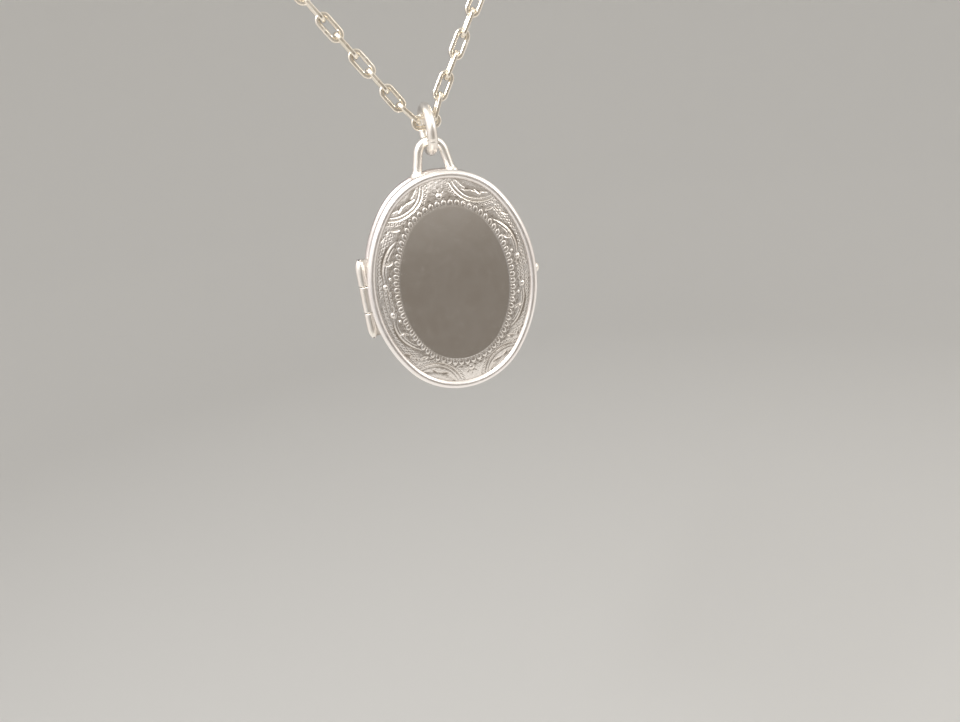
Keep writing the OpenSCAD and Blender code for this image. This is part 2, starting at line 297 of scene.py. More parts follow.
# Bright colour, tarnished colour, smoothest and roughest finish, tarnish and scratches.
SILVER = metal("polished_silver", (0.93, 0.91, 0.885), (0.78, 0.73, 0.66), 0.06, 0.2, 0.3)
RIM_SILVER = metal("rim_silver", (0.95, 0.92, 0.90), (0.84, 0.78, 0.73), 0.26, 0.42, 0.3, 0.8)
# Silver for the back rim: darker, partly tarnish and partly painted shade where the front rim shades it.
TARNISH_AND_SHADE_SILVER = metal("tarnish_and_painted_shade_silver", (0.74, 0.69, 0.67), (0.50, 0.45, 0.41), 0.28, 0.44, 0.5, 0.8)
WORN_SILVER = metal("worn_silver", (0.95, 0.92, 0.87), (0.80, 0.72, 0.62), 0.26, 0.44, 0.35)
BORDER_SILVER = metal("engraved_silver", (0.90, 0.865, 0.83), (0.70, 0.64, 0.57), 0.17, 0.32, 0.45)
CHAIN_SILVER = metal("chain_silver", (0.93, 0.88, 0.79), (0.66, 0.58, 0.45), 0.18, 0.36, 0.5, 0.7)
STEEL = metal("spring_steel", (0.62, 0.61, 0.60), (0.42, 0.39, 0.36), 0.18, 0.32, 0.3)
WINDOW = window_material()
CARD = card_material()

# --- making meshes ---


def grid_faces(rows, columns, closed=False, first=0):
    """Four-sided faces of rings of points that follow each other, and may close on themselves."""
    i = np.arange(rows if closed else rows - 1)
    i, j = [a.ravel() for a in np.meshgrid(i, np.arange(columns), indexing="ij")]
    down = (i + 1) % rows
    right = (j + 1) % columns
    quads = np.stack([i * columns + j, down * columns + j, down * columns + right, i * columns + right], 1)
    return (quads + first).tolist()


def tube_faces(rows, columns):
    """Faces of rings of points that follow each other, with a cap on the first and the last."""
    caps = [list(range(columns)), list(range((rows - 1) * columns, rows * columns))]
    return grid_faces(rows, columns) + caps


def fan_faces(fine, coarse, count, ratio):
    """Triangles between a closed ring of count * ratio points and one of count points."""
    faces = []
    middle = ratio // 2
    for k in range(count):
        here = coarse + k
        following = coarse + (k + 1) % count
        points = [fine + (k * ratio + n) % (count * ratio) for n in range(ratio + 1)]
        faces += [[points[n], points[n + 1], here] for n in range(middle)]
        faces.append([points[middle], following, here])
        faces += [[points[n], points[n + 1], following] for n in range(middle, ratio)]
    return faces


def new_mesh(name, points, faces, material):
    """A smooth mesh from points in millimetres."""
    mesh = bpy.data.meshes.new(name)
    mesh.from_pydata((np.asarray(points, float) * MM).tolist(), [], faces)
    mesh.shade_smooth()
    mesh.materials.append(material)
    return mesh


def make_piece(name, points, faces, material, body, node, sharp=40):
    """A piece that stands for a CAD node. It rides on a body, or on none where body is None.
    Edges that bend more than sharp degrees look sharp."""
    mesh = new_mesh(name, points, faces, material)
    tidy = bmesh.new()
    tidy.from_mesh(mesh)
    bmesh.ops.recalc_face_normals(tidy, faces=tidy.faces)
    tidy.to_mesh(mesh)
    tidy.free()
    mesh.set_sharp_from_angle(angle=math.radians(sharp))
    piece = add_object(name, mesh)
    if body:
        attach(piece, body)
    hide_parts(node)
    return piece


def join_parts(parts):
    """One list of points and one of faces from several (points, faces)."""
    points = []
    faces = []
    for some_points, some_faces in parts:
        faces += [[v + len(points) for v in face] for face in some_faces]
        points += np.asarray(some_points, float).tolist()
    return points, faces


def circle_section(radius, sides):
    a = np.linspace(0, 2 * math.pi, sides, endpoint=False)
    return radius * np.stack([np.cos(a), np.sin(a)], 1)


def round_sections(radii, sides):
    """Circles, one for each radius."""
    return circle_section(1, sides)[None] * np.asarray(radii)[:, None, None]


def sweep(path, outward, section, closed=True):
    """Sweeps a closed section along a flat path. The section's x follows outward and its y is z.
    The section may differ from one path point to the next. Open ends are capped."""
    path = np.asarray(path, float)
    section = np.broadcast_to(np.asarray(section, float), (len(path),) + np.shape(section)[-2:])
    flat = path[:, None, :] + outward[:, None, :] * section[:, :, :1]
    points = np.concatenate([flat, section[:, :, 1:]], 2)
    rows, columns = points.shape[:2]
    faces = grid_faces(rows, columns, True) if closed else tube_faces(rows, columns)
    return points.reshape(-1, 3), faces


def ring_points(rings, height):
    """Points of rings of x and y, each at its height."""
    height = np.broadcast_to(height, rings.shape[:2])
    return np.concatenate([rings, height[..., None]], 2).reshape(-1, 3)


def turned_rings(profile, count):
    """Rings of points round the z axis, one for each (radius, height) of a profile."""
    profile = np.asarray(profile, float)
    return ring_points(profile[:, None, :1] * circle_section(1, count), profile[:, 1:])


def lathe(profile, count):
    """Turns a profile of (radius, height) about the z axis. It starts and ends on the axis."""
    first, *inner, last = profile
    points = np.concatenate([turned_rings(inner, count), [[0, 0, first[1]], [0, 0, last[1]]]])
    faces = grid_faces(len(inner), count)
    low = len(inner) * count
    top_ring = low - count
    faces += [[k, (k + 1) % count, low] for k in range(count)]
    faces += [[top_ring + k, top_ring + (k + 1) % count, low + 1] for k in range(count)]
    return points, faces


def moved(points, matrix):
    """Points turned and moved by a 4 x 4 matrix in millimetres."""
    matrix = np.array(matrix)
    return np.asarray(points, float) @ matrix[:3, :3].T + matrix[:3, 3]


def in_case(points, back=False):
    """Case coordinates turned into the frame's. The back half is the front mirrored in the seam."""
    x, y, z = np.asarray(points, float).T
    return np.stack([x, SEAM_Y + z if back else SEAM_Y - z, CASE_Z + y], 1)


# --- ovals ---


def oval_ring(w, h, join, count):
    """Evenly spaced points round an oval, from its right side upwards, with outward normals and the
    oval's length. Four arcs make it, two of radius end and two of radius side, which meet at the
    angle join."""
    end = (w - h * math.tan(join / 2)) / (2 - 2 * math.tan(join / 2))
    side = end + (h / 2 - end) / math.sin(join)
    over = math.pi - 2 * join
    arcs = [
        (w / 2 - side, 0, side, 0, join),
        (0, h / 2 - end, end, join, over),
        (side - w / 2, 0, side, math.pi - join, 2 * join),
        (0, end - h / 2, end, math.pi + join, over),
        (w / 2 - side, 0, side, -join, join),
    ]
    x, y, radius, start, span = np.array(arcs).T
    ends = np.cumsum(radius * span)
    along = np.arange(count) / count * ends[-1]
    k = np.searchsorted(ends, along, side="right")
    angle = start[k] + (along - (ends - radius * span)[k]) / radius[k]
    normal = np.stack([np.cos(angle), np.sin(angle)], 1)
    return np.stack([x[k], y[k]], 1) + radius[k][:, None] * normal, normal, ends[-1]


# --- the rims ---

# The most that wear has taken off the rim wire's radius, where, and how far that spreads.
RIM_WORN = 0.08
RIM_WORN_AT = math.radians(56)
RIM_WORN_SPREAD = math.radians(30)
WALL_EASE = 0.06
RIM_POINTS = 720


def rim_section():
    """A wall with a wire along its top: x outwards from the case's edge, y out of the seam.
    The wire is worn nearly flat on its outer shoulder."""
    bead = np.array([-RIM_R, HALF_T - RIM_R])
    inner = math.acos((RIM_R - WALL_IN) / RIM_R)
    outer = math.acos((RIM_R - WALL_OUT) / RIM_R)
    angles = np.linspace(2 * math.pi - inner, -outer, 44)
    worn = RIM_WORN * np.exp(-((angles - RIM_WORN_AT) / RIM_WORN_SPREAD) ** 2)
    arc = bead + RIM_R * (1 - worn)[:, None] * np.stack([np.cos(angles), np.sin(angles)], 1)
    seam = SEAM_GAP / 2
    foot = [[-WALL_OUT, seam + WALL_EASE], [-WALL_OUT - WALL_EASE, seam],
            [-WALL_IN + WALL_EASE, seam], [-WALL_IN, seam + WALL_EASE]]
    return np.concatenate([arc, foot])


def make_rim(name, body, back):
    path, outward, _ = oval_ring(CASE_W, CASE_H, CASE_JOIN, RIM_POINTS)
    points, faces = sweep(path, outward, rim_section())
    # The back rim gets the darker silver, which holds painted shade from the front rim.
    material = TARNISH_AND_SHADE_SILVER if back else RIM_SILVER
    make_piece(name + "_wire", in_case(points, back), faces, material, body, name)


make_rim("front_rim", "cover", False)
make_rim("back_rim", "case", True)

# --- the panels ---

BORDER_POINTS = 1440
BORDER_RINGS = 60
PLAIN_RATIO = 10
PLAIN_RINGS = 20
EDGE_RINGS = 6
INSIDE_RINGS = 12
DOME = 0.2
# The step up to the plain oval: its height, and the share of the oval that it takes.
STEP_UP = 0.012
STEP_SHARE = 0.02
INSIDE_STEEPNESS = 3.4


def smooth_step(t):
    t = np.clip(t, 0, 1)
    return t * t * (3 - 2 * t)


def spline(points):
    """A smooth curve through points."""
    p = np.array([2 * np.array(points[0]) - points[1], *points, 2 * np.array(points[-1]) - points[-2]])
    t = np.linspace(0, len(points) - 1, 60)
    k = np.minimum(t.astype(int), len(points) - 2)
    u = (t - k)[:, None]
    a, b, c, d = (p[k + n] for n in range(4))
    return 0.5 * (2 * b + (c - a) * u + (2 * a - 5 * b + 4 * c - d) * u ** 2
                  + (3 * b - a - 3 * c + d) * u ** 3)


class Engraving:
    """Heights cut into or raised on a panel at points x, y, all in millimetres."""

    def __init__(self, x, y):
        self.x = x
        self.y = y
        self.cut = np.zeros_like(x)
        self.rise = np.zeros_like(x)

    def deepen(self, depth):
        """Cuts that meet don't add up: the deeper one shows."""
        self.cut = np.maximum(self.cut, depth)

    def groove(self, path, width, depth, taper):
        """A V-shaped cut along a path, which runs out to a point at both ends. The lower the taper,
        the shorter the points."""
        a, b = path[:-1], path[1:]
        low, high = path.min(0) - width, path.max(0) + width
        near = (self.x > low[0]) & (self.x < high[0]) & (self.y > low[1]) & (self.y < high[1])
        where = np.stack([self.x[near], self.y[near]], 1)[:, None, :]
        step = b - a
        t = np.clip(((where - a) * step).sum(2) / (step ** 2).sum(1), 0, 1)
        gap = np.linalg.norm(where - (a + t[..., None] * step), axis=2)
        k = gap.argmin(1)
        row = np.arange(len(k))
        along = (k + t[row, k]) / len(a)
        swell = np.sin(math.pi * np.clip(along, 0.001, 0.999)) ** taper
        depths = np.zeros_like(self.x)
        depths[near] = depth * swell * np.clip(1 - gap[row, k] / (width / 2 * swell), 0, 1)
        self.deepen(depths)

    def leaf(self, x, y, angle, length, width, depth=0.1):
        """A short pointed cut with two facets."""
        a = math.radians(angle)
        u = ((self.x - x) * math.cos(a) + (self.y - y) * math.sin(a)) * 2 / length
        v = -(self.x - x) * math.sin(a) + (self.y - y) * math.cos(a)
        half = np.maximum(width / 2 * (1 - u * u), 1e-6)
        self.deepen(depth * np.clip(1 - np.abs(v) / half, 0, 1) * (np.abs(u) < 1))

    def beads(self, along, across, radius, height):
        """Round beads in ring-shaped cuts, from the distances to the nearest one's middle."""
        gap = np.hypot(along, across)
        self.rise = np.maximum(self.rise, height * np.clip(1 - (gap / radius) ** 2, 0, 1))
        self.deepen(0.03 * np.clip(1 - np.abs(gap - radius * 1.15) / (radius * 0.35), 0, 1))

    def rings(self, along, across, radius, where):
        """The marks of a ring punch."""
        gap = np.hypot(along, across)
        self.deepen(PUNCH_DEPTH * where * np.clip(1 - np.abs(gap - radius) / (radius * 0.45), 0, 1))


def repeated(along, pitch):
    """Distance along a row from the nearest of its marks."""
    return (along + pitch / 2) % pitch - pitch / 2


def arc_circle(a, b, rise):
    """Centre and radius of the arc from a to b that rises towards the origin."""
    a, b = np.array(a), np.array(b)
    half = np.linalg.norm(b - a) / 2
    radius = (half ** 2 + rise ** 2) / (2 * rise)
    away = (a + b) / 2
    across = np.array([a[1] - b[1], b[0] - a[0]]) / (2 * half)
    across *= np.sign(across @ away)
    return away + across * (radius - rise), radius


def arc_path(centre, radius, a, b):
    """Points on a circle from a to b, the short way."""
    first = math.atan2(a[1] - centre[1], a[0] - centre[0])
    last = math.atan2(b[1] - centre[1], b[0] - centre[0])
    last += 2 * math.pi * round((first - last) / (2 * math.pi))
    angle = np.linspace(first, last, 50)
    return centre + radius * np.stack([np.cos(angle), np.sin(angle)], 1)


PATTERN_TURN = math.radians(2.5)
PUNCH_DEPTH = 0.033
LENS_ENDS = ((7.3, 10.3), (1.75, 13.4))
LENS_RISE = 1.45
LENS_TAPER = 0.25
# A lens's lines: how far in from its outline, width, depth.
LENS_LINES = ((0, 0.4, 0.12), (0.42, 0.28, 0.08))
PUNCH_OUT = 0.42
PUNCH_PITCH = 0.46
PUNCH_R = 0.15
HOLLOW_ENDS = ((6.6, 11.0), (2.7, 13.2))
HOLLOW_RISE = 0.5
HOLLOW_W = 0.5
HOLLOW_DEPTH = 0.04
ARCH = [(6.5, 7.65), (7.7, 6.8), (8.75, 5.4), (9.25, 3.9), (9.2, 2.5)]
# An arch's lines: its scale, shift inwards, width, depth and taper.
ARCH_LINES = ((1.0, 0.0, 0.5, 0.1, 0.55), (0.96, 0.05, 0.2, 0.04, 0.4))
# Leaves: x, y, the angle they point at, length, width.
LENS_LEAVES = ((3.75, 12.0, 165, 1.25, 0.42), (5.15, 11.35, 130, 1.1, 0.38))
ARCH_LEAVES = ((8.95, 1.2, 80, 0.8, 0.32), (6.3, 8.95, 8, 1.2, 0.46), (8.3, 8.0, 148, 1.2, 0.46),
               (7.35, 8.85, 120, 0.7, 0.28))
# Florets: x, y, distance of the leaves' middles, the leaves' angles, length, width, depth.
ARCH_FLORET = (8.05, 4.7, 0.35, (15, 75, 135), 0.7, 0.3, 0.1)
TOP_FLORET = (0, 11.95, 0.72, (40, 90, 140), 0.5, 0.24, 0.05)
# Balls: x, y, radius, height.
BALLS = ((9.15, 1.95, 0.33, 0.11), (8.35, 2.9, 0.17, 0.08), (0, 11.95, 0.38, 0.11))
# Rows of ring-punch marks: distance in from the edge, first and last angle.
SCALE_ROWS = ((1.55, 3, 52), (2.15, 30, 52), (2.1, -1, 11), (2.65, -1, 9))
SCALE_PITCH = 0.58
SCALE_R = 0.19
BEAD_COUNT = 68
BEAD_R = 0.31
BEAD_HEIGHT = 0.05
BEAD_ROW = 0.42
NICK_ROW = 1.03
NICK_LENGTH = 0.3
NICK_DEPTH = 0.05
FULL_CUT = 0.12
WOBBLE_WIDE = 0.05
WOBBLE_FINE = 0.03
FADE_AT_OVAL = 0.08
FADE_AT_RIM = 0.25


def engrave_lens(work):
    """A lens against the rim: a double line, punch marks along its outside and a hollow."""
    centre, radius = arc_circle(*LENS_ENDS, LENS_RISE)
    for inwards, width, depth in LENS_LINES:
        work.groove(arc_path(centre, radius - inwards, *LENS_ENDS), width, depth, LENS_TAPER)
    gap = np.hypot(work.x - centre[0], work.y - centre[1]) - radius - PUNCH_OUT
    round_arc = np.arctan2(work.y - centre[1], work.x - centre[0]) * radius
    work.rings(repeated(round_arc, PUNCH_PITCH), gap, PUNCH_R, np.abs(gap) < 2 * PUNCH_R)
    centre, radius = arc_circle(*HOLLOW_ENDS, HOLLOW_RISE)
    below = radius - np.hypot(work.x - centre[0], work.y - centre[1])
    work.deepen(HOLLOW_DEPTH * np.clip(1 - below / HOLLOW_W, 0, 1) * (below > 0))


def engrave_arch(work):
    """A long double cut beside the plain oval."""
    path = spline(ARCH)
    for scale, shift, width, depth, taper in ARCH_LINES:
        work.groove(path * scale - [shift, 0], width, depth, taper)


def engrave_floret(work, x, y, reach, angles, length, width, depth):
    """Leaves spread round a point."""
    for angle in angles:
        a = math.radians(angle)
        work.leaf(x + reach * math.cos(a), y + reach * math.sin(a), angle, length, width, depth)


def engrave_scales(work, edge_along, inset):
    """Rows of ring-punch marks that follow the rim."""
    angle = np.degrees(np.arctan2(work.y, work.x))
    for k, (row, first, last) in enumerate(SCALE_ROWS):
        where = (angle > first) & (angle < last) & (np.abs(inset - row) < 0.4)
        along = repeated(edge_along + SCALE_PITCH / 2 * (k % 2), SCALE_PITCH)
        work.rings(along, inset - row, SCALE_R, where)


GROUND_WAVES = (0.9, 0.62, 0.47, 0.4, 0.36)
GROUND_STEEPNESS = 0.0045
GROUND_BEND = 0.15


def ground_texture(x, y):
    """The slight unevenness that hand work leaves in the ground of the border."""
    height = np.zeros_like(x)
    for k, wavelength in enumerate(GROUND_WAVES):
        angle = 2.4 * k + 0.3
        across = x * math.cos(angle) + y * math.sin(angle) + GROUND_BEND * np.sin(1.3 * y + k)
        beside = y * math.cos(angle) - x * math.sin(angle) + GROUND_BEND * np.sin(1.1 * x + 2 * k)
        turns = 2 * math.pi / wavelength
        height += GROUND_STEEPNESS * wavelength * np.sin(across * turns) * np.sin(beside * turns * 0.9 + k)
    return height


def border_relief(x, y, edge_along, inset, oval_along, oval_pitch, beyond):
    """The cover's engraving: (height, how deep in a cut) at each point of the border. inset is the
    distance from the case's edge, and beyond the distance from the plain oval. The pattern is the
    same in each quarter, so it's drawn once, on folded coordinates with a hand-drawn wobble."""
    wobble_x = WOBBLE_WIDE * np.sin(0.9 * y + 0.4) + WOBBLE_FINE * np.sin(2.1 * x)
    wobble_y = WOBBLE_WIDE * np.sin(0.8 * x + 1.1) + WOBBLE_FINE * np.sin(1.7 * y)
    c, s = math.cos(PATTERN_TURN), math.sin(PATTERN_TURN)
    work = Engraving(np.abs(c * x + s * y + wobble_x), np.abs(c * y - s * x + wobble_y))
    engrave_lens(work)
    engrave_arch(work)
    engrave_floret(work, *ARCH_FLORET)
    engrave_floret(work, *TOP_FLORET)
    for leaf in LENS_LEAVES + ARCH_LEAVES:
        work.leaf(*leaf)
    for ball_x, ball_y, radius, height in BALLS:
        work.beads(work.x - ball_x, work.y - ball_y, radius, height)
    engrave_scales(work, edge_along, inset)
    along = repeated(oval_along, oval_pitch)
    work.beads(along, (beyond - BEAD_ROW) * 0.8, BEAD_R, BEAD_HEIGHT)
    nick = np.clip(1 - np.abs(beyond - NICK_ROW) / NICK_LENGTH, 0, 1)
    nick *= np.clip(1 - np.abs(along) / (0.3 * nick + 0.01), 0, 1)
    work.deepen(NICK_DEPTH * nick)
    work.rise += ground_texture(x, y)
    inside = smooth_step(beyond / FADE_AT_OVAL) * smooth_step((inset - PANEL_EDGE) / FADE_AT_RIM)
    return (work.rise - work.cut) * inside, np.clip(work.cut / FULL_CUT, 0, 1) * inside


def panel_border(edge, oval, rings, edge_len, oval_len, engraved):
    """The border's rings from under the rim's wire to the plain oval, and how deep its cuts are."""
    count = len(edge)
    t = np.linspace(0, 1, rings + 1)[:, None] * np.ones(count)
    flat = edge * (1 - t[..., None]) + oval * t[..., None]
    z = PANEL_EDGE_Z + CROWN * np.sin(math.pi / 2 * t)
    recess = np.zeros_like(z)
    if engraved:
        width = np.linalg.norm(edge - oval, axis=1)
        share = np.arange(count) / count * np.ones_like(t)
        relief, recess = border_relief(flat[..., 0], flat[..., 1], share * edge_len,
                                       PANEL_EDGE + t * width, share * oval_len,
                                       oval_len / BEAD_COUNT, (1 - t) * width)
        z = z + relief
    return ring_points(flat, z), recess.ravel()


def make_panel(name, body, back, engraved):
    """A domed panel. It has fine rings for the border, coarser ones for the plain middle and the inside,
    with fans of triangles between them."""
    count = BORDER_POINTS if engraved else BORDER_POINTS // 4
    rings = BORDER_RINGS if engraved else BORDER_RINGS // 4
    ratio = PLAIN_RATIO if engraved else 2
    step_up = STEP_UP if engraved else 0.0
    few = count // ratio
    edge, outward, edge_len = oval_ring(CASE_W, CASE_H, CASE_JOIN, count)
    edge = edge - outward * PANEL_EDGE
    oval, _, oval_len = oval_ring(OVAL_W, OVAL_H, OVAL_JOIN, count)
    border, recess = panel_border(edge, oval, rings, edge_len, oval_len, engraved)
    top = PANEL_EDGE_Z + CROWN
    # A small bevel up to the plain oval, on the fine rings. The dome starts to rise on it.
    bevel = np.linspace(0, 1, EDGE_RINGS + 1)[1:, None]
    lift = top + step_up * smooth_step(bevel * 1.6) + 2 * STEP_SHARE * DOME * bevel
    step = ring_points(oval * (1 - STEP_SHARE * bevel[..., None]), lift)
    # The plain middle, a shallow dome.
    scale = np.linspace(1 - 2 * STEP_SHARE, 0.04, PLAIN_RINGS)[:, None]
    dome = top + step_up + DOME * (1 - scale ** 2)
    middle = ring_points(oval[::ratio] * scale[..., None], dome)
    # The inside, which follows the outside at the panel's thickness.
    scale = np.linspace(1, 0.05, INSIDE_RINGS)[:, None]
    rise = np.sin(math.pi / 2 * np.clip((1 - scale) * INSIDE_STEEPNESS, 0, 1))
    inside = ring_points(edge[::ratio] * scale[..., None], PANEL_EDGE_Z - PANEL_T + CROWN * rise)
    points = np.concatenate([border, step, middle, [[0, 0, top + step_up + DOME]], inside])
    step_end = len(border) + len(step)
    centre = step_end + len(middle)
    faces = grid_faces(rings + 1 + EDGE_RINGS, count)
    faces += fan_faces(step_end - count, step_end, few, ratio)
    faces += grid_faces(PLAIN_RINGS, few, first=step_end)
    faces += [[centre - few + k, centre - few + (k + 1) % few, centre] for k in range(few)]
    faces += fan_faces(0, centre + 1, few, ratio)
    faces += grid_faces(INSIDE_RINGS, few, first=centre + 1)
    faces.append(list(range(len(points) - few, len(points))))
    material = BORDER_SILVER if engraved else SILVER
    piece = make_piece(name + "_sheet", in_case(points, back), faces, material, body, name, 60)
    values = np.zeros(len(points), np.float32)
    values[:len(recess)] = recess
    piece.data.attributes.new("recess", "FLOAT", "POINT").data.foreach_set("value", values)
    piece.data.materials.append(SILVER)
    if engraved:
        plain = [int(max(face.vertices[0], face.vertices[2]) >= len(border)) for face in piece.data.polygons]
        piece.data.polygons.foreach_set("material_index", plain)


make_panel("front_panel", "cover", False, True)
make_panel("back_panel", "case", True, False)

# --- the ball that the cover is opened by ---

STEM_R = 0.62
STEM_SUNK = 0.1


def make_pip():
    """A ball on a short stem that is soldered to the cover's wall."""
    low, high = box_mm("thumb_pip")
    radius = (high[2] - low[2]) / 2
    stem_from = CASE_W / 2 - WALL_OUT - STEM_SUNK
    angles = np.linspace(math.radians(145), 0, 28)
    ball = [[radius * math.sin(a), high[0] - radius + radius * math.cos(a)] for a in angles]
    points, faces = lathe([[0, stem_from], [STEM_R, stem_from], *ball[:-1], [0, high[0]]], 48)
    x, y, height = points.T
    z = y + SEAM_Y - (low[1] + high[1]) / 2
    make_piece("opening_ball", in_case(np.stack([height, x, z], 1)), faces, WORN_SILVER, "cover",
               "thumb_pip", 50)


make_pip()

# --- the hinge ---

HINGE_PIN_R = 0.3
# The length and the depth of the rounding at the barrel's ends and at its joins.
END_ROUND = (1.5, 0.62)
JOIN_ROUND = (0.14, 0.12)
LEAF_SUNK = 0.15
LEAF_SHORT = 0.12
# A leaf's outline: what it's measured from, how far across from that, how far out of the seam.
LEAF_OUTLINE = (("barrel", -0.1, 0.62), ("barrel", 0.25, 0.66), ("wall", -0.1, 0.8),
                ("wall", 0.1, 0.86), ("wall", 0.1, 0.12), ("barrel", 0.0, 0.12))


def rounded_barrel(radius, low, high, round_low, round_high):
    """The profile of a barrel with rounded ends."""
    turns = np.linspace(0, math.pi / 2, 10)
    lower = [[radius - round_low[1] * (1 - math.sin(t)), low + round_low[0] * (1 - math.cos(t))]
             for t in turns]
    upper = [[radius - round_high[1] * (1 - math.cos(t)), high - round_high[0] * (1 - math.sin(t))]
             for t in turns]
    return [[0, low], *lower, *upper, [0, high]]


def make_knuckle(name, body, round_low, round_high, front):
    """One knuckle and the leaf that joins it to its half, with solder run in where they meet."""
    low, high = box_mm(name)
    x = box_mm("hinge_pin")[0][0] + HINGE_PIN_R
    bottom, top = low[2] - CASE_Z, high[2] - CASE_Z
    points, barrel_faces = lathe(rounded_barrel(x - low[0], bottom, top, round_low, round_high), 48)
    across, depth, height = points.T
    barrel = np.stack([x + across, height, depth], 1), barrel_faces
    sunk = 2 * (WALL_OUT + LEAF_SUNK)
    wall, _, _ = oval_ring(CASE_W - sunk, CASE_H - sunk, CASE_JOIN, 1440)
    left = wall[wall[:, 0] < -CASE_W / 4]
    left = left[left[:, 1].argsort()]
    ends = np.linspace(bottom + LEAF_SHORT, top - LEAF_SHORT, 12)
    leaf = []
    for y, wall_x in zip(ends, np.interp(ends, left[:, 1], left[:, 0])):
        start = {"barrel": x, "wall": wall_x}
        leaf += [[start[place] + u, y, v if front else -v] for place, u, v in LEAF_OUTLINE]
    points, faces = join_parts([barrel, (leaf, tube_faces(len(ends), len(LEAF_OUTLINE)))])
    make_piece(name + "_barrel", in_case(points), faces, WORN_SILVER, body, name, 35)


make_knuckle("hinge_knuckle_top", "case", JOIN_ROUND, END_ROUND, False)
make_knuckle("hinge_knuckle_middle", "cover", JOIN_ROUND, JOIN_ROUND, True)
make_knuckle("hinge_knuckle_bottom", "case", END_ROUND, JOIN_ROUND, False)

# --- the loop and the jump ring ---

LOOP_R = 1.75
LOOP_SPLAY = math.radians(12)
LOOP_LEG = 3.1
SOLDER = 0.3
SOLDER_SPREAD = 0.42


def make_loop():
    """The soldered loop: bent wire whose feet spread into solder on the back half's edge."""
    low, high = box_mm("bail_loop")
    wire = (high[1] - low[1]) / 2
    middle = high[2] - wire - LOOP_R
    c, s = math.cos(LOOP_SPLAY), math.sin(LOOP_SPLAY)
    down = np.linspace(LOOP_LEG, 0, 26, endpoint=False)
    right = [[LOOP_R * c + d * s, LOOP_R * s - d * c] for d in down]
    arc = np.linspace(LOOP_SPLAY, math.pi - LOOP_SPLAY, 60)
    over = [[LOOP_R * math.cos(a), LOOP_R * math.sin(a)] for a in arc]
    path = np.array(right + over + [[-x, y] for x, y in reversed(right)])
    run = np.gradient(path, axis=0)
    run /= np.linalg.norm(run, axis=1)[:, None]
    outward = np.stack([run[:, 1], -run[:, 0]], 1)
    above_rim = path[:, 1] + middle - (CASE_Z + CASE_H / 2 - WALL_OUT)
    solder = np.exp(-(above_rim.clip(0) / SOLDER_SPREAD) ** 2)
    solder *= smooth_step((0.35 - above_rim) / 0.9 + 0.5)
    points, faces = sweep(path, outward, round_sections(wire + SOLDER * solder, 32), closed=False)
    x, y, z = points.T
    points = np.stack([x, z, y + middle], 1)
    make_piece("hanging_loop", points, faces, WORN_SILVER, "case", "bail_loop", 50)


make_loop()

# The closed joint of a soldered ring: a fine groove with a low swelling on each side.
SEAM_CUT = 0.05
SEAM_W = 0.06
SEAM_SWELL = 0.02
SEAM_SWELL_AT = 0.25
SEAM_SWELL_W = 0.15


def make_ring(name, node, body, material, centre, across, ring_r, wire_r, seam_at=None, count=160):
    """A ring of round wire. across is its axis, and seam_at the place of its closed joint in degrees."""
    outward = circle_section(1, count)
    radius = np.full(count, wire_r)
    if seam_at is not None:
        a = np.arctan2(outward[:, 1], outward[:, 0]) - math.radians(seam_at)
        gap = np.abs((a + math.pi) % (2 * math.pi) - math.pi) * ring_r
        radius -= SEAM_CUT * np.exp(-(gap / SEAM_W) ** 2)
        radius += SEAM_SWELL * np.exp(-((gap - SEAM_SWELL_AT) / SEAM_SWELL_W) ** 2)
    points, faces = sweep(ring_r * outward, outward, round_sections(radius, 32))
    place = Matrix.Translation(centre) @ facing(across)
    make_piece(name, moved(points, place), faces, material, body, node, 60)


ring_low, ring_high = box_mm("jump_ring")
ring_wire = (ring_high[0] - ring_low[0]) / 2
ring_mean = (ring_high[2] - ring_low[2]) / 2 - ring_wire
make_ring("jump_ring_wire", "jump_ring", "jump_ring", WORN_SILVER, centre_of("jump_ring"), (1, 0, 0),
          ring_mean, ring_wire, seam_at=205, count=240)

# --- the chain ---


def strand_matrix(centre, side, lean, edge_on):
    """Places a piece in the plane of the chain's V, with its x axis along the strand."""
    matrix = Matrix.Translation(Vector(centre)) @ turn(90, "X") @ turn(90 - side * lean, "Z")
    return matrix @ turn(90, "X") if edge_on else matrix


# A link's wire is filed flat: how much of its radius is left on its faces, outside and corners.
FLAT_FACE = 0.8
FLAT_OUTSIDE = 0.84
FLAT_CORNER = 1.28
JOINT_SWELL = 0.1
JOINT_W = 0.22


def link_path():
    """The middle line of a link's wire, and its outward directions."""
    end_r = (LINK_W - LINK_WIRE) / 2
    straight = (LINK_L - LINK_WIRE) / 2 - end_r
    turns = np.linspace(-math.pi / 2, math.pi / 2, 24)
    half = [[straight + end_r * math.cos(t), end_r * math.sin(t), math.cos(t), math.sin(t)] for t in turns]
    half += [[straight - 2 * straight * n / 12, end_r, 0.0, 1.0] for n in range(1, 12)]
    half = np.array(half)
    points = np.concatenate([half, -half])
    return points[:, :2], points[:, 2:]


def link_section(path, joint_side):
    """Round wire with filed flats on both faces and along the outside, and a joint in one side."""
    radius = LINK_WIRE / 2
    section = np.broadcast_to(circle_section(radius, 28), (len(path), 28, 2)).copy()
    section[..., 1] = np.clip(section[..., 1], -FLAT_FACE * radius, FLAT_FACE * radius)
    section[..., 0] = np.clip(section[..., 0], None, FLAT_OUTSIDE * radius)
    corner = np.abs(section).sum(2) / (FLAT_CORNER * radius)
    section /= np.maximum(corner, 1)[..., None]
    at_joint = (path[:, 1] * joint_side > 0) * np.exp(-(path[:, 0] / JOINT_W) ** 2)
    return section * (1 + JOINT_SWELL * at_joint)[:, None, None]


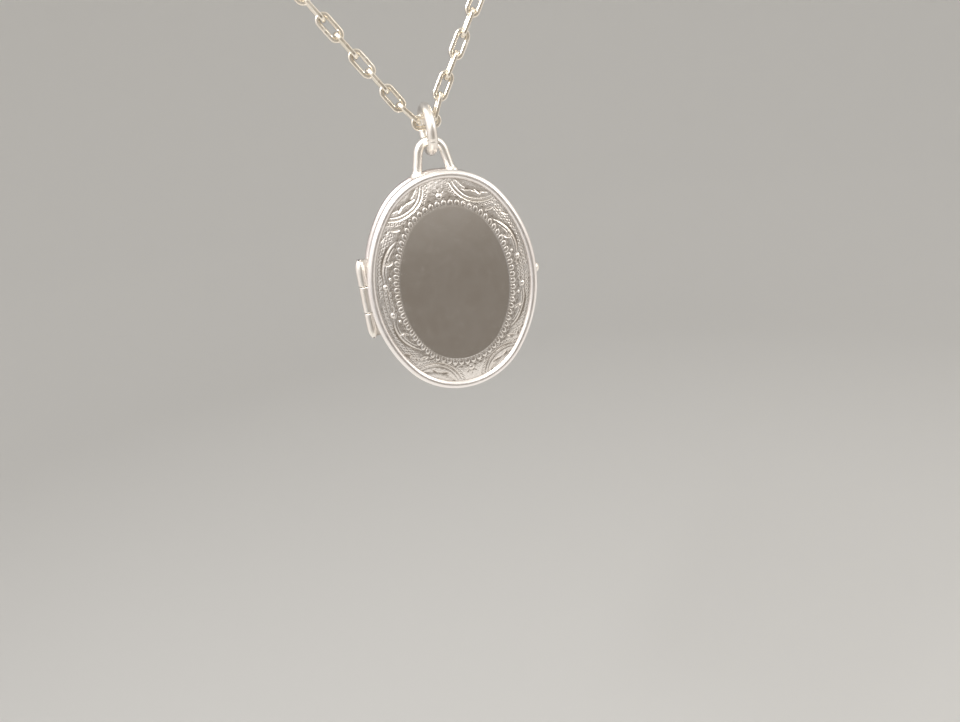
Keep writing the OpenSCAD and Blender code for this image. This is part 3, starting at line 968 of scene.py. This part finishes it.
def make_links():
    path, outward = link_path()
    for k in range(-SIDE_LINKS, SIDE_LINKS + 1):
        node = f"chain_link_{k + SIDE_LINKS + 1:02d}"
        side = -1 if k < 0 else 1
        lean = 90 if k == 0 else FIRST_LEAN[side] if abs(k) == 1 else STRAND_LEAN[side]
        matrix = strand_matrix(centre_of(node), side, lean, k % 2 != 0)
        points, faces = sweep(path, outward, link_section(path, 1 if (k // 2) % 2 else -1))
        name = node.replace("chain_link", "link_wire")
        make_piece(name, moved(points, matrix), faces, CHAIN_SILVER, "chain", node, 24)


make_links()

# --- the chain's ends and the clasp ---

END_R = 1.2
END_WIRE_R = 0.3
EYE_R = 0.75
EYE_WIRE_R = 0.28
EYE_SUNK = 0.12
CLASP_R = 2.4
TUBE_R = 0.6
BORE_R = 0.42
BOLT_R = 0.38
# Places round the clasp, in degrees from the strand's direction.
MOUTH = 20.0
SLOT_FROM = 46.0
SLOT_TO = 102.0
SOLID_FROM = 176.0
SOLID_TO = 332.0
BOLT_TIP = -24.0
BOLT_HOLLOW = 44.0
BOLT_TAIL = 74.0
TRIGGER_AT = 52.0
SPRING_FROM = 46.0
SPRING_TO = 170.0
JOIN_LAP = 0.5
SLOT_W = 0.5
SPRING_TURNS = 34
COIL_R = 0.125
COIL_WIRE_R = 0.03
# The bolt's tail is bored for the spring.
TAIL_BORE = 0.52
# The knob's stem as (radius, height), and the ball on it.
KNOB_STEM = ((0.2, 0.55), (0.24, 0.72))
KNOB_R = 0.34
KNOB_HALF_H = 0.32
KNOB_AT = 1.1


def make_ends():
    for name, side in (("left_end_ring", -1), ("right_end_ring", 1)):
        across = strand_matrix((0, 0, 0), side, STRAND_LEAN[side], True).to_3x3().col[2]
        make_ring(name + "_wire", name, "chain", CHAIN_SILVER, centre_of(name), across, END_R,
                  END_WIRE_R, seam_at=100)
    make_ring("clasp_eye_wire", "clasp_eye", "chain", CHAIN_SILVER, centre_of("clasp_eye"), (0, -1, 0),
              EYE_R, EYE_WIRE_R)


make_ends()

EYE_PLACE = strand_matrix(centre_of("clasp_eye"), -1, STRAND_LEAN[-1], False)
EYE_TO_CLASP = EYE_R + EYE_WIRE_R + TUBE_R - EYE_SUNK + CLASP_R
CLASP_PLACE = EYE_PLACE @ Matrix.Translation((EYE_TO_CLASP, 0, 0))


def clasp_path(start, stop):
    """Points and outward normals round the clasp, between two angles in degrees."""
    a = np.radians(np.linspace(start, stop, max(3, int(abs(stop - start) / 2) + 1)))
    outward = np.stack([np.cos(a), np.sin(a)], 1)
    return CLASP_R * outward, outward


def tube_section(slotted):
    """The clasp's tube, closed or with a slot along its outside. Its wall is one closed outline."""
    outline = []
    for radius, count in ((TUBE_R, 40), (BORE_R, 32)):
        half_slot = math.asin(SLOT_W / 2 / radius) if slotted else 1e-3
        a = np.linspace(half_slot, 2 * math.pi - half_slot, count)
        outline.append(radius * np.stack([np.cos(a), np.sin(a)], 1))
    return np.concatenate([outline[0], outline[1][::-1]])


def tube(start, stop, slotted=False):
    return sweep(*clasp_path(start, stop), tube_section(slotted), closed=False)


def solid_bar(start, stop, radius, round_ends):
    """A round bar bent round the clasp, with its ends eased."""
    path, outward = clasp_path(start, stop)
    length = np.radians(np.abs(np.linspace(start, stop, len(path)) - start)) * CLASP_R
    from_end = np.minimum(length, length[-1] - length)
    ease = np.sqrt(np.clip(1 - (1 - np.clip(from_end / round_ends, 0, 1)) ** 2, 0, 1))
    return sweep(path, outward, round_sections(radius * np.maximum(ease, 0.35), 28), closed=False)


def make_clasp_piece(name, points, faces, place, body, node, sharp):
    make_piece(name, moved(points, place), faces, CHAIN_SILVER, body, node, sharp)


def make_clasp():
    """The tube with its slot and mouth, the bolt that slides in it and the bolt's knob."""
    parts = [tube(MOUTH, SLOT_FROM), tube(SLOT_FROM, SLOT_TO, True), tube(SLOT_TO, SOLID_FROM),
             solid_bar(SOLID_FROM - JOIN_LAP, SOLID_TO, TUBE_R, 0.001),
             tube(SOLID_TO - JOIN_LAP, 360 - MOUTH)]
    make_clasp_piece("clasp_tube", *join_parts(parts), CLASP_PLACE, "chain", "clasp_body", 30)
    hollow = np.concatenate([circle_section(BOLT_R, 28), circle_section(BOLT_R * TAIL_BORE, 28)[::-1]])
    parts = [solid_bar(BOLT_TIP, BOLT_HOLLOW, BOLT_R, 0.25),
             sweep(*clasp_path(BOLT_HOLLOW, BOLT_TAIL), hollow, closed=False)]
    make_clasp_piece("clasp_bolt_bar", *join_parts(parts), CLASP_PLACE, "clasp_bolt", "clasp_bolt", 40)
    foot = BOLT_R * 0.8
    turns = np.linspace(math.radians(130), 0, 18)[:-1]
    ball = [[KNOB_R * math.sin(t), KNOB_AT + KNOB_HALF_H * math.cos(t)] for t in turns]
    stem = [[0, foot], [KNOB_STEM[0][0], foot], *KNOB_STEM]
    points, faces = lathe([*stem, *ball, [0, KNOB_AT + KNOB_HALF_H]], 40)
    x, y, height = points.T
    points = np.stack([CLASP_R + height, x, y], 1)
    make_clasp_piece("clasp_trigger_knob", points, faces, CLASP_PLACE @ turn(TRIGGER_AT, "Z"),
                     "clasp_bolt", "clasp_trigger", 50)


def on_clasp(angles, radius=CLASP_R, height=0.0):
    return np.stack([radius * np.cos(angles), radius * np.sin(angles), height + 0 * angles], 1)


def make_spring():
    """A fine coil inside the tube, wound round the clasp's curve."""
    turns = np.linspace(0, 1, SPRING_TURNS * 16)
    a = np.radians(SPRING_FROM + 1 + (SPRING_TO - SPRING_FROM - 2) * turns)
    phase = 2 * math.pi * SPRING_TURNS * turns
    line = on_clasp(a, CLASP_R + COIL_R * np.cos(phase), COIL_R * np.sin(phase))
    along = np.gradient(line, axis=0)
    along /= np.linalg.norm(along, axis=1)[:, None]
    out = line - on_clasp(a)
    out -= (out * along).sum(1)[:, None] * along
    out /= np.linalg.norm(out, axis=1)[:, None]
    third = np.cross(along, out)
    ring = circle_section(COIL_WIRE_R, 8)
    points = line[:, None] + ring[None, :, :1] * out[:, None] + ring[None, :, 1:] * third[:, None]
    coil = make_piece("clasp_coil", moved(points.reshape(-1, 3), CLASP_PLACE), tube_faces(len(line), 8),
                      STEEL, None, "clasp_spring", 60)
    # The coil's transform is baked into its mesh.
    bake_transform(coil)


make_clasp()
make_spring()

# --- inside the case ---

ROLL_R = 0.16
ROLL_SUNK = 0.13
BAND_EASE = 0.07
CARD_POINTS = 360
CARD_RINGS = 14
CARD_CLEAR = 0.02
CARD_WAVE = 0.008


def make_photo_frame(name, body, inset, back):
    """A thin oval band with rolled edges that holds a window and a photo in its half."""
    path, outward, _ = oval_ring(CASE_W, CASE_H, CASE_JOIN, 480)
    low, high = FRAME_DEPTH, FRAME_DEPTH + FRAME_T
    outer, inner = -inset, -inset - FRAME_W
    roll = [[inner + ROLL_R * math.cos(a), low + ROLL_SUNK + ROLL_R * math.sin(a)]
            for a in np.radians(np.linspace(200, 330, 9))]
    section = [[outer, low + BAND_EASE], [outer, high], [inner, high], *roll, [outer - BAND_EASE, low]]
    points, faces = sweep(path, outward, section)
    make_piece(name + "_band", in_case(points, back), faces, SILVER, body, name, 35)


def make_photo_card(name, body, inset, back):
    """A blank oval card behind a window. It waves very slightly and stays clear of the window."""
    path, outward, _ = oval_ring(CASE_W, CASE_H, CASE_JOIN, CARD_POINTS)
    edge = path - outward * (inset + FRAME_W - SHEET_EDGE)
    scales = np.linspace(0.05, 1, CARD_RINGS)[:, None]
    near_rings = edge * scales[..., None]
    wave = np.sin(0.5 * near_rings[..., 0] + 0.8) * np.sin(0.35 * near_rings[..., 1])
    window_back = FRAME_DEPTH + FRAME_T + SHEET_T
    near = ring_points(near_rings, window_back + CARD_CLEAR + CARD_WAVE * np.abs(wave))
    far = ring_points(near_rings[::-1], window_back + SHEET_T)
    faces = tube_faces(2 * CARD_RINGS, CARD_POINTS)
    points = in_case(np.concatenate([near, far]), back)
    make_piece(name + "_card", points, faces, CARD, body, name, 35)


for body, side, inset, back in (("cover", "front", WALL_IN, False), ("case", "back", LIP_IN, True)):
    make_photo_frame(side + "_photo_frame", body, inset + FIT_GAP, back)
    make_photo_card(side + "_photo", body, inset + FIT_GAP, back)


# CAD nodes whose shape is already right only get a material.
CAD_FINISHES = {"front_window": WINDOW, "back_window": WINDOW, "snap_lip": SILVER, "snap_bead": SILVER,
                "hinge_pin": SILVER}
for node, material in CAD_FINISHES.items():
    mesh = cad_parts[node].data
    mesh.materials.clear()
    mesh.materials.append(material)

# --- the studio ---

FLOOR_Z = -200.0
FLOOR_R = 420.0
SWEEP_R = 300.0
WALL_TOP = 700.0


def stage_mesh(name, points, faces, look):
    """A mesh of the studio, from points in millimetres, that isn't part of the object."""
    thing = add_object(name, new_mesh(name, points, faces, look.material))
    return thing


def make_floor():
    """A pale floor that curves up into a round backdrop a good way off."""
    bend = np.linspace(0, math.pi / 2, 24)
    profile = [[FLOOR_R * 0.5, FLOOR_Z]]
    profile += [[FLOOR_R + SWEEP_R * math.sin(a), FLOOR_Z + SWEEP_R * (1 - math.cos(a))] for a in bend]
    profile.append([FLOOR_R + SWEEP_R, FLOOR_Z + WALL_TOP])
    look = Shading("pale_paper")
    look.set(Base_Color=(0.80, 0.79, 0.77, 1), Roughness=0.9)
    faces = grid_faces(len(profile), 96) + [list(range(96))]
    floor = stage_mesh("floor", turned_rings(profile, 96), faces, look)
    floor.visible_glossy = False


def make_light(name, azimuth, elevation, distance, size, power, colour=(1, 1, 1)):
    """A square soft box that faces the case."""
    light = bpy.data.lights.new(name, "AREA")
    light.size = size * MM
    light.energy = power
    light.color = colour
    add_object(name, light).matrix_world = stand_off(azimuth, elevation, distance)


TENT_R = 620.0
TENT_TONE = (0.42, 0.41, 0.40)
# Parts of the tent: azimuth and elevation of the middle, half the width and height, softness of
# the edge, all in degrees, and the light it gives. Later ones lie over earlier ones.
TENT_PARTS = [
    (180, -8, 70, 28, 24, (0.28, 0.27, 0.26)),
    (-98, -15, 38, 45, 16, (0.85, 0.78, 0.75)),
    (-62, 38, 46, 42, 8, (1.10, 1.06, 1.03)),
    (84, 8, 34, 55, 10, (0.82, 0.76, 0.70)),
    (25, 62, 70, 24, 9, (0.95, 0.91, 0.84)),
    (-30, 36, 40, 16, 6, (1.9, 1.85, 1.8)),
    (-52, 44, 22, 15, 5, (3.6, 3.5, 3.4)),
    (9, 2, 26, 18, 8, (0.39, 0.355, 0.315)),
    (9, -23, 26, 17, 14, (0.235, 0.207, 0.178)),
    (0, -90, 75, 52, 9, (0.95, 0.91, 0.86)),
]


def make_tent():
    """A light tent round the case. Only reflections see it: it's out of the picture and casts no
    shadow, and its dark front is what the cover mirrors."""
    columns, rows = 180, 90
    azimuth, elevation = np.meshgrid(np.linspace(0, 360, columns, endpoint=False),
                                     np.linspace(-89, 89, rows))
    a, e = np.radians(azimuth.ravel()), np.radians(elevation.ravel())
    towards = np.stack([np.sin(a) * np.cos(e), -np.cos(a) * np.cos(e), np.sin(e)], 1)
    tone = np.tile(TENT_TONE, (len(towards), 1))
    for part_azimuth, part_elevation, half_w, half_h, soft, light in TENT_PARTS:
        middle = np.array(direction(part_azimuth, part_elevation))
        right = np.array(direction(part_azimuth + 90, 0))
        up = np.cross(right, middle)
        ahead = towards @ middle
        across = np.degrees(np.arctan2(towards @ right, ahead))
        above = np.degrees(np.arctan2(towards @ up, ahead))
        cover = smooth_step((half_w - np.abs(across)) / soft + 0.5)
        cover *= smooth_step((half_h - np.abs(above)) / soft + 0.5)
        tone += cover[:, None] * (np.array(light) - tone)
    points = np.array(AIM) + TENT_R * towards
    look = Shading("tent")
    look.set(Base_Color=(0, 0, 0, 1), Specular_IOR_Level=0, Emission_Strength=1,
             Emission_Color=look.attribute("glow")["Color"])
    look.material.cycles.emission_sampling = "NONE"
    tent = stage_mesh("tent", points, tube_faces(rows, columns), look)
    colours = np.concatenate([tone, np.ones((len(tone), 1))], 1).astype(np.float32)
    glow = tent.data.color_attributes.new("glow", "FLOAT_COLOR", "POINT")
    glow.data.foreach_set("color", colours.ravel())
    tent.visible_camera = False
    tent.visible_diffuse = False
    tent.visible_transmission = False
    tent.visible_shadow = False


make_floor()
make_tent()
make_light("key", -55, 50, 400, 160, 0.9)
make_light("fill", 60, 25, 450, 250, 0.5, (1.0, 0.97, 0.93))
world = bpy.data.worlds.new("world")
world.use_nodes = True
background = world.node_tree.nodes["Background"]
background.inputs["Color"].default_value = (1.0, 0.98, 0.95, 1)
background.inputs["Strength"].default_value = 0.5
bpy.context.scene.world = world
bpy.context.scene.view_settings.view_transform = "Standard"
